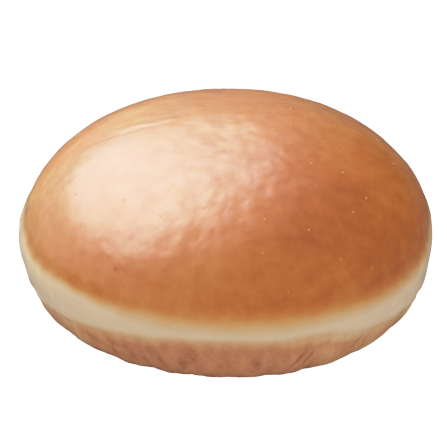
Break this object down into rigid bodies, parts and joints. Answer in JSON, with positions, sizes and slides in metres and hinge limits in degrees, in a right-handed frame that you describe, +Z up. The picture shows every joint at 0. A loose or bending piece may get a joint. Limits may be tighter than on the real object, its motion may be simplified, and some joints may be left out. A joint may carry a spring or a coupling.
{
  "type": "filled glazed doughnut",
  "caption": "Round glazed yeast doughnut with no hole: a brown domed crust, a pale waist and a flat puckered foot.",
  "frame": {"origin": "middle of the flat underside, centred on the doughnut's box", "axes": "+Z up out of the dome, +X across the doughnut's widest way, -Y the side that faces the viewer"},
  "size_m": [0.0898, 0.0858, 0.0456],
  "materials": {
    "glazed_crust": "brown fried crust under a thin clear sugar glaze, pale and duller round the waist"
  },
  "bodies": {
    "root": {"doughnut": "glazed_crust"}
  },
  "joints": []
}
